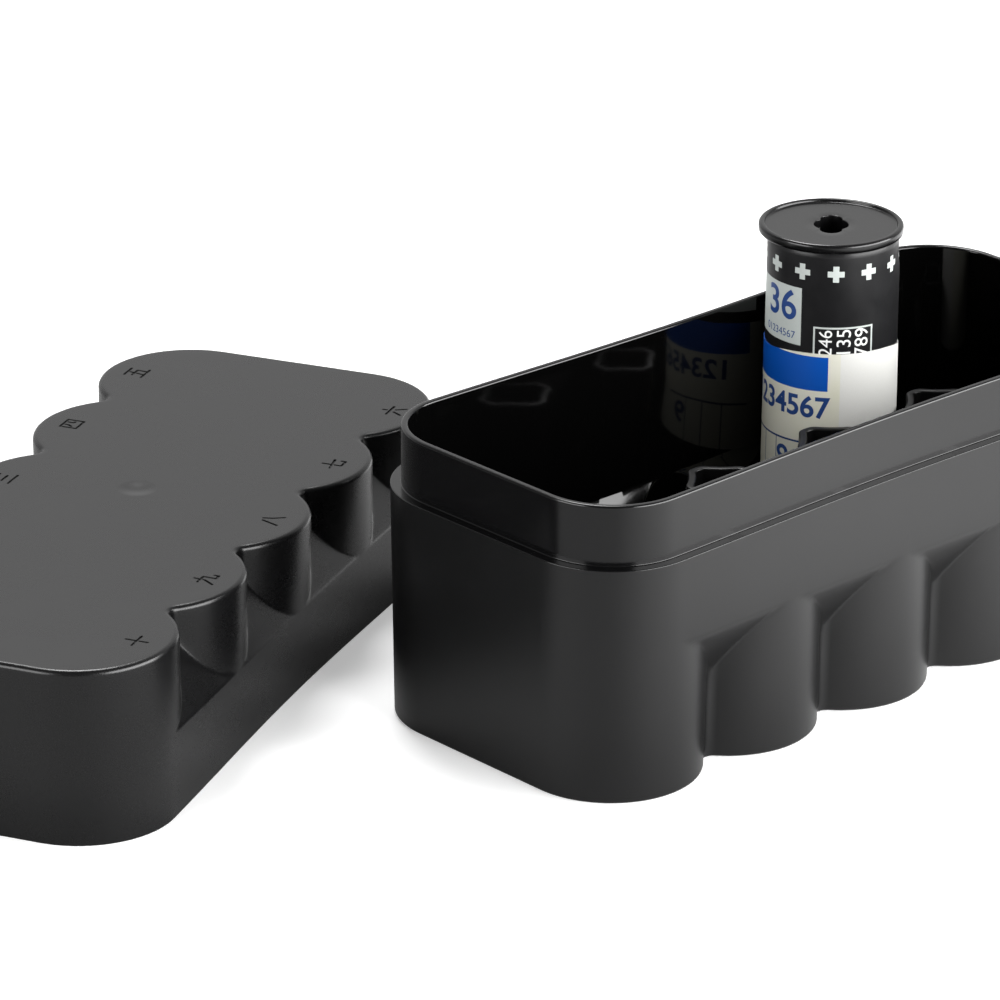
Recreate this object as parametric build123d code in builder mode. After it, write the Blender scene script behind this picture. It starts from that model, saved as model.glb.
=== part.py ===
from build123d import *

import os
from math import atan2, cos, degrees, radians, sqrt, tan

# A moulded case for ten rolls of medium-format film, open, with its lid lying beside it
# and one roll standing in a pocket. Millimetres. The base stands on z = 0, centred on
# the origin, its long side along X and its short side along Y.

os.makedirs("parts", exist_ok=True)

# Film roll: a spool, the film wound on it, the backing paper round that and a seal band
SPOOL_LENGTH = 65.5
FLANGE_DIAMETER = 25.1
FLANGE_THICKNESS = 1.7
FLANGE_RIM = 1.1
FLANGE_DISH = 0.5
FLANGE_ROUND = 0.35
FLANGE_PROUD = 1.15
CORE_DIAMETER = 12.0
KEY_HOLE_DIAMETER = 6.0
KEY_HOLE_DEPTH = 2.0
KEY_SLOT_LENGTH = 9.1
KEY_SLOT_WIDTH = 3.8
KEY_SLOT_DEPTH = 9.0
KEY_TURN = 43.0
PAPER_BUILD = 1.5
PAPER_END_GAP = 0.1
FILM_END_GAP = 0.3
TAPE_THICKNESS = 0.15
TAPE_WIDTH = 22.0
BAND_THICKNESS = 0.15
BAND_WIDTH = 25.2

# Pockets: two rows of five, and the one that holds the roll, counted from the middle
ROLLS_LONG = 5
ROLLS_WIDE = 2
ROLL_CLEARANCE = 0.4
ROLL_HEADROOM = 2.1
POCKET_GAP_X = 0.9
POCKET_GAP_Y = 3.5
POCKET_DRAFT = 0.3
ROLL_POCKET = (1, 0.5)

# Base: floor, wall up to the ledge that the lid sits on, and the lip above it
BASE_HEIGHT = 41.3
BASE_FLOOR = 2.0
BASE_BAND = 15.7
BASE_DRAFT = 0.9
LIP_HEIGHT = 10.4
LIP_WALL = 1.45
LEDGE_WIDTH = 1.8

# Lid
LID_TOP = 2.0
LID_SKIRT = 15.0
LID_DRAFT = 0.45
LID_FIT = 0.25
LID_SEAT_GAP = 0.3

# Recesses between the bumps of the long walls
RECESS_ROOT = 2.0
RECESS_SLOPE = 58.0
RECESS_WALL = 1.2
CROWN_ANGLE = 7.0
CROWN_FLAT = 0.5
CUT_BEYOND = 4.0

# Hollow star-shaped posts on the centre line, with half posts on the end walls
POST_HEIGHT = 35.0
POST_RELIEF = 1.15
POST_POINT = 1.2
POST_WALL = 1.3
POST_CORNER = 0.5
END_POST_SPREAD = 11.0
POST_SINK = 1.0

# Rounded edges
FOOT_ROUND = 0.6
TOP_ROUND = 0.9
LIP_ROUND = 0.4

# Marks on the lid: numerals one to ten in straight strokes, and the moulding gate
NUMERAL_SIZE = 3.8
NUMERAL_STROKE = 0.5
NUMERAL_DEPTH = 0.3
NUMERAL_INSET = 5.9
GATE_DIAMETER = 8.0
GATE_DEPTH = 0.35
GATE_PLACE = (4.3, 1.9)

# Where the lid lies, top up: turned, and this far from the base's back left corner
LID_TURN = 25.8
LID_AWAY = 9.3
LID_ALONG = 2.77

# Pitches and rows, with each wall as its outside radius round a corner roll
POCKET_RADIUS = FLANGE_DIAMETER / 2 + ROLL_CLEARANCE
PITCH_X = 2 * POCKET_RADIUS + POCKET_GAP_X
PITCH_Y = 2 * POCKET_RADIUS + POCKET_GAP_Y
ROW_LENGTH = (ROLLS_LONG - 1) * PITCH_X
ROW_SPREAD = (ROLLS_WIDE - 1) * PITCH_Y
LIP_RADIUS = POCKET_RADIUS + LIP_WALL
RIM_RADIUS = LIP_RADIUS + LEDGE_WIDTH
FOOT_RADIUS = RIM_RADIUS - BASE_HEIGHT * tan(radians(BASE_DRAFT))

# Heights: the two mouldings close over a standing roll
LID_HEIGHT = BASE_FLOOR + SPOOL_LENGTH + ROLL_HEADROOM + LID_TOP - BASE_HEIGHT
LID_TOP_RADIUS = RIM_RADIUS - LID_HEIGHT * tan(radians(LID_DRAFT))
BASE_RECESS_HEIGHT = BASE_HEIGHT - BASE_BAND
LID_RECESS_HEIGHT = LID_HEIGHT - LID_SKIRT
RIM_HEIGHT = BASE_HEIGHT + LIP_HEIGHT
SLOPE_RISE = tan(radians(RECESS_SLOPE))

# Posts stand back from the pockets, and reach a little past the waist that this leaves
POST_HOLLOW = POCKET_RADIUS + POST_RELIEF
POST_REACH = sqrt(PITCH_X**2 + PITCH_Y**2) / 2 - POST_HOLLOW + POST_POINT

# The roll's own diameters, from its flanges inwards, and its lengths
PAPER_DIAMETER = FLANGE_DIAMETER - 2 * FLANGE_PROUD
FILM_PACK_DIAMETER = PAPER_DIAMETER - 2 * PAPER_BUILD
PAPER_WIDTH = SPOOL_LENGTH - 2 * (FLANGE_THICKNESS + PAPER_END_GAP)
FILM_WIDTH = SPOOL_LENGTH - 2 * (FLANGE_THICKNESS + FILM_END_GAP)

# Both mouldings are drawn with their closed end at z = 0 and their rim up. The base stands
# so; the lid is then turned over, onto its own plane.
BASE_CORNER = Vector(-ROW_LENGTH / 2 - RIM_RADIUS, ROW_SPREAD / 2 + RIM_RADIUS)
LID_OFFSET = Vector(LID_ALONG, ROW_SPREAD / 2 + RIM_RADIUS + LID_AWAY, LID_HEIGHT)
LID_ORIGIN = BASE_CORNER + LID_OFFSET.rotate(Axis.Z, LID_TURN)
LID_AXIS = Vector(1, 0, 0).rotate(Axis.Z, LID_TURN)
LID_FRAME = Plane(origin=LID_ORIGIN, x_dir=LID_AXIS, z_dir=(0, 0, -1))
LID_FACE = Plane(origin=(0, 0, 0), x_dir=(1, 0, 0), z_dir=(0, 0, -1))

ROLL_PLACE = (ROLL_POCKET[0] * PITCH_X, ROLL_POCKET[1] * PITCH_Y)
ROLL_FRAME = Plane(origin=(*ROLL_PLACE, BASE_FLOOR))
ROLL_MIDDLE = ROLL_FRAME.offset(SPOOL_LENGTH / 2)


def outline(height, radius):
    """A rounded rectangle round all the pockets, this far outside their centres."""
    with BuildSketch(Plane.XY.offset(height)) as shape:
        RectangleRounded(ROW_LENGTH + 2 * radius, ROW_SPREAD + 2 * radius, radius)
    return shape.sketch


def gap_faces(height, radius, root):
    """The gaps of both long walls, outside circles of this radius round the pockets."""
    half = PITCH_X / 2
    middle = sqrt((radius + root) ** 2 - half**2)
    side = degrees(atan2(middle, half))
    crown = 90 - CROWN_ANGLE
    shoulder = radius / cos(radians(CROWN_ANGLE)) - CROWN_FLAT * tan(radians(CROWN_ANGLE))
    with BuildSketch() as gap:
        with BuildLine():
            left = CenterArc((-half, 0), radius, crown, side - crown)
            CenterArc((0, middle), root, 180 + side, 180 - 2 * side)
            right = CenterArc((half, 0), radius, 180 - side, side - crown)
            Polyline(
                left @ 0,
                (CROWN_FLAT - half, shoulder),
                (CROWN_FLAT - half, radius + CUT_BEYOND),
                (half - CROWN_FLAT, radius + CUT_BEYOND),
                (half - CROWN_FLAT, shoulder),
                right @ 1,
            )
        make_face()
    with BuildSketch(Plane.XY.offset(height)) as gaps:
        with Locations((0, ROW_SPREAD / 2)):
            with GridLocations(PITCH_X, 0, ROLLS_LONG - 1, 1):
                add(gap.sketch)
        mirror(about=Plane.XZ)
    return gaps.sketch


def gap_solids(start, radius, root, draft, face_radius, face_height):
    """The gaps as solids, under a roof that slopes down from the wall's face inwards."""
    face = ROW_SPREAD / 2 + face_radius
    beyond = face + CUT_BEYOND
    roof_top = face_height + CUT_BEYOND * SLOPE_RISE
    with BuildPart() as gaps:
        add(gap_faces(start, radius, root))
        extrude(amount=roof_top - start, taper=draft)
        with BuildSketch(Plane.YZ) as roof:
            with BuildLine():
                Polyline(
                    (face - (face_height - start) / SLOPE_RISE, start),
                    (beyond, roof_top),
                    (beyond, start),
                    close=True,
                )
            make_face()
            mirror(about=Plane.YZ)
        extrude(amount=ROW_LENGTH, both=True, mode=Mode.INTERSECT)
    return gaps.part


def cavity(floor, height, closed_radius, recess_height):
    """The hollow of a moulding: open to its rim, with the back of each recess in it."""
    wall = closed_radius - POCKET_RADIUS
    roof_height = recess_height + RECESS_WALL / cos(radians(RECESS_SLOPE))
    ridges = gap_solids(
        floor, POCKET_RADIUS, RECESS_ROOT + wall, POCKET_DRAFT, closed_radius, roof_height
    )
    with BuildPart() as hollow:
        add(outline(floor, POCKET_RADIUS))
        extrude(amount=height - floor, taper=-POCKET_DRAFT)
        add(ridges, mode=Mode.SUBTRACT)
    return hollow.part


def recesses(closed_radius, draft, recess_height):
    """The V-shaped recesses between the bumps, cut from the closed end."""
    return gap_solids(0, closed_radius, RECESS_ROOT, draft, closed_radius, recess_height)


def post_walls(grow):
    """Star shapes between each four pockets, with their hollow sides larger by grow."""
    with BuildSketch(Plane.XY.offset(BASE_FLOOR)) as stars:
        with GridLocations(PITCH_X, 0, ROLLS_LONG - 1, 1):
            Circle(POST_REACH - grow)
        with GridLocations(ROLLS_LONG * PITCH_X, 0, 2, 1):
            Rectangle(2 * (POST_REACH - grow), 2 * (END_POST_SPREAD - grow))
        with GridLocations(PITCH_X, PITCH_Y, ROLLS_LONG + 2, ROLLS_WIDE):
            Circle(POST_HOLLOW + grow, mode=Mode.SUBTRACT)
        Rectangle(
            ROW_LENGTH + 2 * (POCKET_RADIUS + POST_SINK), ROW_SPREAD, mode=Mode.INTERSECT
        )
    return stars.sketch


# Numerals one to ten, each a list of strokes in a square of side one
NUMERALS = {
    1: [[(-0.5, 0), (0.5, 0)]],
    2: [[(-0.35, 0.3), (0.35, 0.3)], [(-0.5, -0.35), (0.5, -0.35)]],
    3: [[(-0.4, 0.42), (0.4, 0.42)], [(-0.3, 0), (0.3, 0)], [(-0.5, -0.42), (0.5, -0.42)]],
    4: [
        [(-0.45, 0.4), (0.45, 0.4), (0.45, -0.4), (-0.45, -0.4), (-0.45, 0.4)],
        [(-0.15, 0.4), (-0.15, 0.12), (-0.28, -0.08)],
        [(0.15, 0.4), (0.15, 0), (0.28, -0.03)],
    ],
    5: [
        [(-0.42, 0.45), (0.42, 0.45)],
        [(0, 0.45), (-0.16, -0.45)],
        [(-0.34, 0.08), (0.28, 0.08), (0.25, -0.45)],
        [(-0.5, -0.45), (0.5, -0.45)],
    ],
    6: [
        [(0, 0.5), (0, 0.32)],
        [(-0.5, 0.15), (0.5, 0.15)],
        [(-0.14, -0.08), (-0.4, -0.5)],
        [(0.14, -0.08), (0.4, -0.5)],
    ],
    7: [[(-0.5, -0.02), (0.5, 0.14)], [(-0.08, 0.5), (-0.08, -0.4), (0.46, -0.4), (0.46, -0.2)]],
    8: [[(-0.13, 0.35), (-0.46, -0.45)], [(0.1, 0.42), (0.22, 0), (0.48, -0.45)]],
    9: [
        [(-0.08, 0.5), (-0.12, 0), (-0.46, -0.5)],
        [(-0.42, 0.2), (0.2, 0.2), (0.18, -0.4), (0.5, -0.4), (0.5, -0.2)],
    ],
    10: [[(-0.5, 0), (0.5, 0)], [(0, 0.5), (0, -0.5)]],
}


def numeral(strokes):
    """One numeral as round-ended strokes, upright and centred."""
    with BuildSketch() as mark:
        for stroke in strokes:
            points = [Vector(*point) * NUMERAL_SIZE for point in stroke]
            for start, end in zip(points, points[1:]):
                run = end - start
                with Locations(Location((start + end) / 2, degrees(atan2(run.Y, run.X)))):
                    SlotCenterToCenter(run.length, NUMERAL_STROKE)
    return mark.sketch


def numeral_place(number):
    """Where a numeral stands on the lid: one to five on the far row, six to ten back again."""
    far_row = number <= ROLLS_LONG
    along = number - 1 if far_row else 2 * ROLLS_LONG - number
    across = ROW_SPREAD / 2 + LID_TOP_RADIUS - NUMERAL_INSET
    return ((along - (ROLLS_LONG - 1) / 2) * PITCH_X, across if far_row else -across)


# Base tray: one moulding with a floor, drafted walls, a lip and hollow posts
base_hollow = cavity(BASE_FLOOR, RIM_HEIGHT, FOOT_RADIUS, BASE_RECESS_HEIGHT)
base_recesses = recesses(FOOT_RADIUS, BASE_DRAFT, BASE_RECESS_HEIGHT)

with BuildPart() as posts:
    add(post_walls(0))
    extrude(amount=POST_HEIGHT - BASE_FLOOR)
    upright_edges = posts.edges().filter_by(Axis.Z)
    fillet(upright_edges.filter_by(lambda edge: abs(edge.center().X) < ROW_LENGTH / 2), POST_CORNER)
    add(post_walls(POST_WALL))
    extrude(amount=POST_HEIGHT - BASE_FLOOR, mode=Mode.SUBTRACT)

with BuildPart() as base_tray:
    add(outline(0, FOOT_RADIUS))
    extrude(amount=BASE_HEIGHT, taper=-BASE_DRAFT)
    add(outline(BASE_HEIGHT, LIP_RADIUS))
    extrude(amount=LIP_HEIGHT)
    add(base_recesses, mode=Mode.SUBTRACT)
    fillet(base_tray.faces().sort_by(Axis.Z)[0].edges(), FOOT_ROUND)
    add(base_hollow, mode=Mode.SUBTRACT)
    fillet(base_tray.faces().sort_by(Axis.Z)[-1].edges(), LIP_ROUND)
    add(posts.part)

# Lid cover: one moulding, top up on the surface beside the base
lid_hollow = cavity(LID_TOP, LID_HEIGHT, LID_TOP_RADIUS, LID_RECESS_HEIGHT)
lid_recesses = recesses(LID_TOP_RADIUS, LID_DRAFT, LID_RECESS_HEIGHT)
SOCKET_DEPTH = LIP_HEIGHT + LID_SEAT_GAP

with BuildPart() as lid_mould:
    add(outline(0, LID_TOP_RADIUS))
    extrude(amount=LID_HEIGHT, taper=-LID_DRAFT)
    add(lid_recesses, mode=Mode.SUBTRACT)
    fillet(lid_mould.faces().sort_by(Axis.Z)[0].edges(), TOP_ROUND)
    add(lid_hollow, mode=Mode.SUBTRACT)
    add(outline(LID_HEIGHT - SOCKET_DEPTH, LIP_RADIUS + LID_FIT))
    extrude(amount=SOCKET_DEPTH, mode=Mode.SUBTRACT)
    with BuildSketch(LID_FACE):
        for number, strokes in NUMERALS.items():
            with Locations(numeral_place(number)):
                add(numeral(strokes))
    extrude(amount=NUMERAL_DEPTH, both=True, mode=Mode.SUBTRACT)
    with BuildSketch(LID_FACE):
        with Locations(GATE_PLACE):
            Circle(GATE_DIAMETER / 2)
    extrude(amount=GATE_DEPTH, both=True, mode=Mode.SUBTRACT)

lid_cover = LID_FRAME.from_local_coords(lid_mould.part)

# Spool: core and two dished flanges, with a shallow round hole and a deep slot in each end
with BuildPart() as spool:
    with BuildSketch(ROLL_FRAME):
        Circle(CORE_DIAMETER / 2)
    extrude(amount=SPOOL_LENGTH)
    for end in (ROLL_FRAME, ROLL_FRAME.offset(SPOOL_LENGTH - FLANGE_THICKNESS)):
        with BuildSketch(end):
            Circle(FLANGE_DIAMETER / 2)
        extrude(amount=FLANGE_THICKNESS)
    flange_edges = spool.edges().filter_by(GeomType.CIRCLE)
    fillet(flange_edges.filter_by(lambda edge: edge.radius > CORE_DIAMETER / 2), FLANGE_ROUND)
    for end, inwards in ((ROLL_FRAME, 1), (ROLL_FRAME.offset(SPOOL_LENGTH), -1)):
        with BuildSketch(end):
            Circle(FLANGE_DIAMETER / 2 - FLANGE_RIM)
        extrude(amount=inwards * FLANGE_DISH, mode=Mode.SUBTRACT)
        with BuildSketch(end):
            Circle(KEY_HOLE_DIAMETER / 2)
        extrude(amount=inwards * KEY_HOLE_DEPTH, mode=Mode.SUBTRACT)
        with BuildSketch(end):
            SlotOverall(KEY_SLOT_LENGTH, KEY_SLOT_WIDTH, rotation=KEY_TURN)
        extrude(amount=inwards * KEY_SLOT_DEPTH, mode=Mode.SUBTRACT)

# Film strip: the wound pack, close round the core
with BuildPart() as film_strip:
    with BuildSketch(ROLL_MIDDLE):
        Circle(FILM_PACK_DIAMETER / 2)
        Circle(CORE_DIAMETER / 2, mode=Mode.SUBTRACT)
    extrude(amount=FILM_WIDTH / 2, both=True)

# Joining tape: holds the end of the film to the backing paper
TAPE_OUTER = FILM_PACK_DIAMETER / 2 + TAPE_THICKNESS
TAPE_ANGLE = degrees(TAPE_WIDTH / TAPE_OUTER)

with BuildPart() as joining_tape:
    with BuildSketch(ROLL_MIDDLE):
        with BuildLine():
            inner = CenterArc((0, 0), FILM_PACK_DIAMETER / 2, 0, TAPE_ANGLE)
            outer = CenterArc((0, 0), TAPE_OUTER, 0, TAPE_ANGLE)
            Line(inner @ 0, outer @ 0)
            Line(inner @ 1, outer @ 1)
        make_face()
    extrude(amount=FILM_WIDTH / 2, both=True)

# Backing paper: its outer turns, between the flanges
with BuildPart() as backing_paper:
    with BuildSketch(ROLL_MIDDLE):
        Circle(PAPER_DIAMETER / 2)
        Circle(TAPE_OUTER, mode=Mode.SUBTRACT)
    extrude(amount=PAPER_WIDTH / 2, both=True)

# Seal band: the gummed strip that keeps the paper wound
with BuildPart() as seal_band:
    with BuildSketch(ROLL_MIDDLE):
        Circle(PAPER_DIAMETER / 2 + BAND_THICKNESS)
        Circle(PAPER_DIAMETER / 2, mode=Mode.SUBTRACT)
    extrude(amount=BAND_WIDTH / 2, both=True)

pieces = {
    "base_tray": base_tray.part,
    "lid_cover": lid_cover,
    "spool": spool.part,
    "film_strip": film_strip.part,
    "joining_tape": joining_tape.part,
    "backing_paper": backing_paper.part,
    "seal_band": seal_band.part,
}
for name, piece in pieces.items():
    piece.label = name
    export_step(piece, f"parts/{name}.step")
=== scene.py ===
import logging
import math
from dataclasses import dataclass
from enum import Enum

import bmesh
import bpy
import numpy as np
from mathutils import Matrix, Vector

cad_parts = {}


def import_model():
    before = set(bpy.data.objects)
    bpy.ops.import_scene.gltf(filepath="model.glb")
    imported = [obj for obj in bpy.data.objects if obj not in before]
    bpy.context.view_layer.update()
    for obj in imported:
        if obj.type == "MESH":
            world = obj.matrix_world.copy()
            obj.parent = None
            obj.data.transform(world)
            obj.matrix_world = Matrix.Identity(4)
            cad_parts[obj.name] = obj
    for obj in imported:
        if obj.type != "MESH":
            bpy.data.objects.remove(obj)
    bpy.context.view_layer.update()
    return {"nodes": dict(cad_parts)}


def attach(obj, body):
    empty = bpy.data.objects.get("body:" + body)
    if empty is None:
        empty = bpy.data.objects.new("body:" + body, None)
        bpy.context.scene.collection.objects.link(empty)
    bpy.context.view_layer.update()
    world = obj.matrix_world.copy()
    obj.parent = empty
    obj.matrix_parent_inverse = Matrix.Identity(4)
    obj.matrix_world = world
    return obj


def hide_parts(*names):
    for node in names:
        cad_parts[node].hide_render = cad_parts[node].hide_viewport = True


# A moulded film case: an open base tray with a film roll in it, and its lid lying beside it.
# Sizes are in millimetres until a mesh is made, and Blender's own units are metres.
MM = 0.001
log = logging.getLogger("film_case")
Array = np.ndarray


class Slot(Enum):
    """The record's material slots."""

    CASE = "case_plastic"
    SPOOL = "spool_plastic"
    FILM = "film"
    TAPE = "tape"
    PAPER = "backing_paper"
    BAND = "band_paper"


class Body(Enum):
    """The bodies that pieces ride on."""

    BASE = "base"
    LID = "lid"
    ROLL = "film_roll"


class Column(Enum):
    """What a column of a moulding's skin runs down."""

    SHORT = 0
    CORNER = 1
    BUMP = 2
    ROOT = 3


# Shapes


def quarter_turn(steps: int) -> Array:
    """Angles of a quarter turn, one per row.

    Args:
        steps: Number of rows.

    Returns:
        Angles from 0 to a quarter turn, as a column (steps, 1).
    """
    return np.linspace(0, math.pi / 2, steps)[:, None]


def soft_min(a: Array, b: Array, power: float) -> Array:
    """The lesser of two positive fields, rounded where they cross.

    The result is m / (1 + (m / M) ** power) ** (1 / power), with m the lesser and M the greater.

    Args:
        a: First field, none below zero.
        b: Second field, none below zero.
        power: How sharp the crossing stays.

    Returns:
        The rounded minimum, zero where either field is zero.
    """
    least = np.minimum(a, b)
    most = np.maximum(np.maximum(a, b), 1e-9)
    return least / (1 + (least / most) ** power) ** (1 / power)


def rounded_ramp(a: Array, edge: float) -> Array:
    """The field where it is above zero and nothing below, with a rounded foot.

    The result is half of a + sqrt(a² + edge²), less its last trace far below zero.

    Args:
        a: The field.
        edge: Size of the rounding.

    Returns:
        The ramp, none below zero.
    """
    return np.maximum((a + np.sqrt(a * a + edge * edge)) / 2 - edge / 12, 0)


def grid_quads(rows: int, columns: int, close_rows: bool, close_columns: bool) -> Array:
    """Corner numbers of the quads between the points of a grid.

    Args:
        rows: Number of rows of points.
        columns: Number of points in a row.
        close_rows: Whether the last row joins the first.
        close_columns: Whether the last column joins the first.

    Returns:
        Array (quads, 4) of point numbers.
    """
    i = np.arange(rows if close_rows else rows - 1)[:, None]
    j = np.arange(columns if close_columns else columns - 1)[None, :]
    i_next, j_next = (i + 1) % rows, (j + 1) % columns
    corners = (i * columns + j, i * columns + j_next, i_next * columns + j_next, i_next * columns + j)
    return np.stack(np.broadcast_arrays(*corners), -1).reshape(-1, 4)


def mesh_from(name: str, points: Array, quads: Array) -> bpy.types.Object:
    """An object at the origin whose mesh has these points and quads.

    Args:
        name: The piece's name.
        points: Array (..., 3) in millimetres.
        quads: Array (quads, 4) of point numbers.

    Returns:
        The object, in the scene.
    """
    mesh = bpy.data.meshes.new(name)
    flat = points.reshape(-1, 3) * MM
    mesh.vertices.add(len(flat))
    mesh.vertices.foreach_set("co", flat.ravel())
    mesh.loops.add(quads.size)
    mesh.loops.foreach_set("vertex_index", quads.ravel())
    mesh.polygons.add(len(quads))
    mesh.polygons.foreach_set("loop_start", np.arange(0, quads.size, 4))
    mesh.update(calc_edges=True)
    piece = bpy.data.objects.new(name, mesh)
    bpy.context.scene.collection.objects.link(piece)
    return piece


def weld(piece: bpy.types.Object, distance: float = 1e-3) -> None:
    """Merges a mesh's doubled points, drops faces of no area and turns the rest outwards.

    Args:
        piece: The object whose mesh is welded.
        distance: How close doubled points are, in millimetres.
    """
    work = bmesh.new()
    work.from_mesh(piece.data)
    bmesh.ops.remove_doubles(work, verts=work.verts, dist=distance * MM)
    bmesh.ops.dissolve_degenerate(work, dist=distance * MM / 10, edges=work.edges)
    bmesh.ops.recalc_face_normals(work, faces=work.faces)
    for face in work.faces:
        face.smooth = True
    work.to_mesh(piece.data)
    work.free()


def even_shading(piece: bpy.types.Object, sharp: float = 40) -> None:
    """Smooth shading led by the large faces, with edges above an angle kept sharp.

    Args:
        piece: The object to shade.
        sharp: The angle, in degrees.
    """
    piece.data.set_sharp_from_angle(angle=math.radians(sharp))
    weighted = piece.modifiers.new("even_shading", "WEIGHTED_NORMAL")
    weighted.keep_sharp = True
    weighted.weight = 60


@dataclass(frozen=True)
class Pockets:
    """The pockets of the case: rows along X, centred on the origin."""

    long: int = 5
    pitch_x: float = 26.8
    pitch_y: float = 29.4
    radius: float = 12.95
    draft: float = 0.3

    @property
    def end_x(self) -> float:
        """X of the last pocket of a row."""
        return (self.long - 1) / 2 * self.pitch_x

    @property
    def row_y(self) -> float:
        """Y of the back row."""
        return self.pitch_y / 2


@dataclass(frozen=True)
class Steps:
    """How many columns and rows each stretch of a moulding's skin has."""

    short: int = 10
    corner: int = 22
    bump: int = 12
    root: int = 12
    rounding: int = 6
    wall: int = 9
    crease: int = 7


class Perimeter:
    """One trip round the pockets, as columns that each know the shape that they run down.

    Half a trip is the right short side, a corner, the back long side and the next corner. The
    other half is the same, turned half a turn.
    """

    def __init__(self, pockets: Pockets, steps: Steps) -> None:
        """Lays out the columns.

        Args:
            pockets: The pockets that the trip goes round.
            steps: How many columns each stretch has.
        """
        self.pockets = pockets
        self.half_pitch = pockets.pitch_x / 2
        end, row = pockets.end_x, pockets.row_y
        stretches = [
            self._stretch(Column.SHORT, end, (-row, row), (0, 0), steps.short),
            self._stretch(Column.CORNER, end, (row, row), (0, math.pi / 2), steps.corner),
            self._stretch(Column.BUMP, end, (row, row), (0, -1), steps.bump),
        ]
        for number in range(pockets.long - 1):
            left = end - (number + 1) * pockets.pitch_x
            last = number == pockets.long - 2
            bump_steps = steps.bump if last else 2 * steps.bump
            stretches += [
                self._stretch(Column.ROOT, left + self.half_pitch, (row, row), (1, -1), steps.root),
                self._stretch(Column.BUMP, left, (row, row), (1, 0 if last else -1), bump_steps),
            ]
        stretches.append(
            self._stretch(Column.CORNER, -end, (row, row), (math.pi / 2, math.pi), steps.corner)
        )
        self.kind, self.at_x, self.at_y, self.turn = np.concatenate(stretches, 1)[:, None, :]

    @staticmethod
    def _stretch(kind: Column, x: float, y: tuple, turn: tuple, count: int) -> Array:
        """Columns of one kind: their kind, centre X, centre Y and turn, each a row.

        Args:
            kind: What the columns run down.
            x: X of their centre.
            y: First and last Y of their centre.
            turn: First and last angle, or share of the bump's side angle.
            count: Number of columns, which leave out the last place.

        Returns:
            Array (4, count).
        """
        share = np.arange(count) / count
        return np.stack([
            np.full(count, float(kind.value)),
            np.full(count, x),
            y[0] + (y[1] - y[0]) * share,
            turn[0] + (turn[1] - turn[0]) * share,
        ])

    def valley(self, radius: Array, root: Array) -> tuple[Array, Array, Array]:
        """Where the columns stand, and how deep the gaps between the bumps are there.

        A bump is a circle of this radius round its pocket. Two bumps are joined by a root circle
        that touches both, so its centre is sqrt((radius + root)² - half a pitch²) out. The depth
        is measured from the flat wall that touches all the bumps.

        Args:
            radius: Radius round the pockets, broadcast over rows and columns.
            root: Radius of the root circle.

        Returns:
            X, the flat wall's Y and the depth, each (rows, columns).
        """
        middle = np.sqrt((radius + root) ** 2 - self.half_pitch**2)
        side = np.arctan2(self.half_pitch, middle)
        is_bump, is_root = self.kind == Column.BUMP.value, self.kind == Column.ROOT.value
        is_long = is_bump | is_root
        angle = np.where(is_long, self.turn * side, self.turn)
        x_bump, x_root = radius * np.sin(angle), root * np.sin(angle)
        x_corner = radius * np.cos(self.turn)
        x = self.at_x + np.where(is_bump, x_bump, np.where(is_root, x_root, x_corner))
        y = self.at_y + np.where(is_long, radius, radius * np.sin(self.turn))
        bump_depth = radius - radius * np.cos(angle)
        root_depth = radius - middle + root * np.cos(angle)
        depth = np.where(is_bump, bump_depth, np.where(is_root, root_depth, 0))
        return x, y, np.maximum(depth, 0)


@dataclass(frozen=True)
class Bow:
    """How the long walls lean in at mid-length, more towards the open rim."""

    amount: float = 1.36
    full_height: float = 40.0
    rate: float = 1.2

    def at(self, x: Array, height: Array, reach: float) -> Array:
        """The lean at a place: amount times cos² along the wall times a power of the height.

        Args:
            x: Place along the wall.
            height: Height above the closed end.
            reach: Half length over which the wall leans.

        Returns:
            How far in the wall stands.
        """
        along = np.cos(np.clip(x / reach, -1, 1) * math.pi / 2) ** 2
        return self.amount * along * np.clip(height / self.full_height, 0, 1) ** self.rate


@dataclass(frozen=True)
class MouldingSizes:
    """Sizes of one moulding, drawn with its closed end at 0 and its rim up."""

    height: float
    floor: float
    rim_radius: float
    draft: float
    recess_height: float
    closed_round: float
    step_radius: float
    step_height: float
    recess_root: float = 2.0
    recess_wall: float = 1.2
    slope: float = 58.0
    ledge_round: float = 0.16
    rim_round: float = 0.4
    crease: float = 0.55
    edge: float = 0.45
    inner_edge: float = 0.14
    sharpness: float = 14.0


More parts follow.
